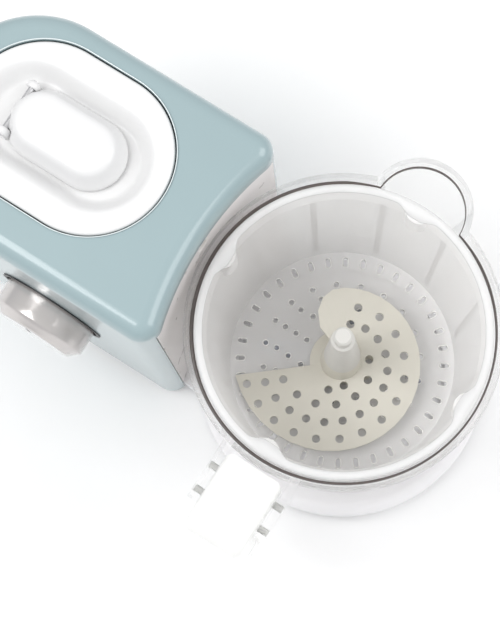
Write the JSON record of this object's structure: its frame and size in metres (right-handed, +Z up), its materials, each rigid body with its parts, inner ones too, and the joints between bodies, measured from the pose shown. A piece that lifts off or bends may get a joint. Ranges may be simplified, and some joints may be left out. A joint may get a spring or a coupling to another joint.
{
  "type": "baby food maker",
  "caption": "Countertop baby food maker: a tower with boiler, motor and front control knob beside a clear lift-off bowl with blades, steam basket and spiral plate.",
  "frame": {"origin": "middle of the footprint, on the surface that the feet stand on", "axes": "+Z up; +X from the tower to the bowl; the control knob and the bowl handle face -Y and the spout faces +Y"},
  "size_m": [0.28, 0.194, 0.1685],
  "materials": {
    "base_grey": "fine moulded texture",
    "rubber_grey": "matte",
    "rubber_black": "matte",
    "white_plastic": "satin",
    "steel": "brushed",
    "blade_steel": "ground",
    "black_plastic": "matte",
    "brass": "satin",
    "aluminium": "spun",
    "silicone": "matte",
    "board_green": "satin",
    "shell_teal": "gloss",
    "panel_beige": "satin",
    "knob_white": "gloss",
    "cover_white": "satin",
    "bowl_clear": "clear",
    "handle_white": "satin",
    "basket_frosted": "frosted",
    "plate_cream": "matte",
    "post_grey": "matte"
  },
  "bodies": {
    "base": {"base_plate": "base_grey", "rubber_feet": "rubber_grey", "base_pan": "white_plastic", "base_screws": "steel", "motor_case": "steel", "motor_flange": "steel", "drive_belt": "rubber_black", "spindle_bush": "brass", "tower_shell": "shell_teal", "tower_panel": "panel_beige", "cord_gland": "rubber_grey", "control_bezel": "black_plastic", "rotary_switch": "black_plastic", "boiler_tank": "aluminium", "heating_element": "steel", "thermostat": "brass", "filler_tray": "white_plastic", "steam_duct": "silicone", "steam_nozzle": "silicone", "control_board": "board_green"},
    "control": {"control_knob": "knob_white", "switch_shaft": "steel"},
    "cover": {"boiler_cover": "cover_white", "cover_seal": "silicone", "lever_pin": "steel"},
    "lever": {"cover_lever": "cover_white"},
    "rotor": {"motor_shaft": "steel", "motor_pulley": "black_plastic"},
    "spindle": {"spindle_pulley": "black_plastic", "drive_spindle": "steel", "drive_coupling": "black_plastic"},
    "bowl_group": {"bowl": "bowl_clear", "bowl_handle": "handle_white", "handle_pins": "handle_white", "blade_bearing": "brass", "blade_seal": "silicone"},
    "blades": {"driven_coupling": "black_plastic", "blade_shaft": "steel", "blade_hub": "black_plastic", "lower_blade": "blade_steel", "blade_spacer": "black_plastic", "upper_blade": "blade_steel", "blade_cap": "black_plastic"},
    "basket": {"steam_basket": "basket_frosted"},
    "plate": {"spiral_plate": "plate_cream", "plate_post": "post_grey"}
  },
  "joints": [
    {"name": "control_turn", "type": "hinge", "parent": "base", "child": "control", "pos_m": [-0.059, -0.0435, 0.08], "axis": [0, -1, 0], "range_deg": [-60, 60]},
    {"name": "cover_lift", "type": "slide", "parent": "base", "child": "cover", "axis": [0, 0, 1], "range_m": [0, 0.045]},
    {"name": "lever_raise", "type": "hinge", "parent": "cover", "child": "lever", "pos_m": [-0.1005, 0.015, 0.1605], "axis": [0, -1, 0], "range_deg": [0, 70]},
    {"name": "motor_spin", "type": "hinge", "parent": "base", "child": "rotor", "pos_m": [-0.072, 0.01, 0.02], "axis": [0, 0, 1], "continuous": true},
    {"name": "spindle_spin", "type": "hinge", "parent": "base", "child": "spindle", "pos_m": [0.068, 0.011, 0.01], "axis": [0, 0, 1], "continuous": true},
    {"name": "bowl_lift", "type": "slide", "parent": "base", "child": "bowl_group", "axis": [0, 0, 1], "range_m": [0, 0.145]},
    {"name": "blade_spin", "type": "hinge", "parent": "bowl_group", "child": "blades", "pos_m": [0.068, 0.011, 0.03], "axis": [0, 0, 1], "continuous": true},
    {"name": "basket_lift", "type": "slide", "parent": "bowl_group", "child": "basket", "axis": [0, 0, 1], "range_m": [0, 0.11]},
    {"name": "plate_lift", "type": "slide", "parent": "basket", "child": "plate", "axis": [0, 0, 1], "range_m": [0, 0.1]}
  ],
  "couplings": [
    {"joint": "motor_spin", "follows": "spindle_spin", "ratio": 3},
    {"joint": "blade_spin", "follows": "spindle_spin", "ratio": 1}
  ]
}
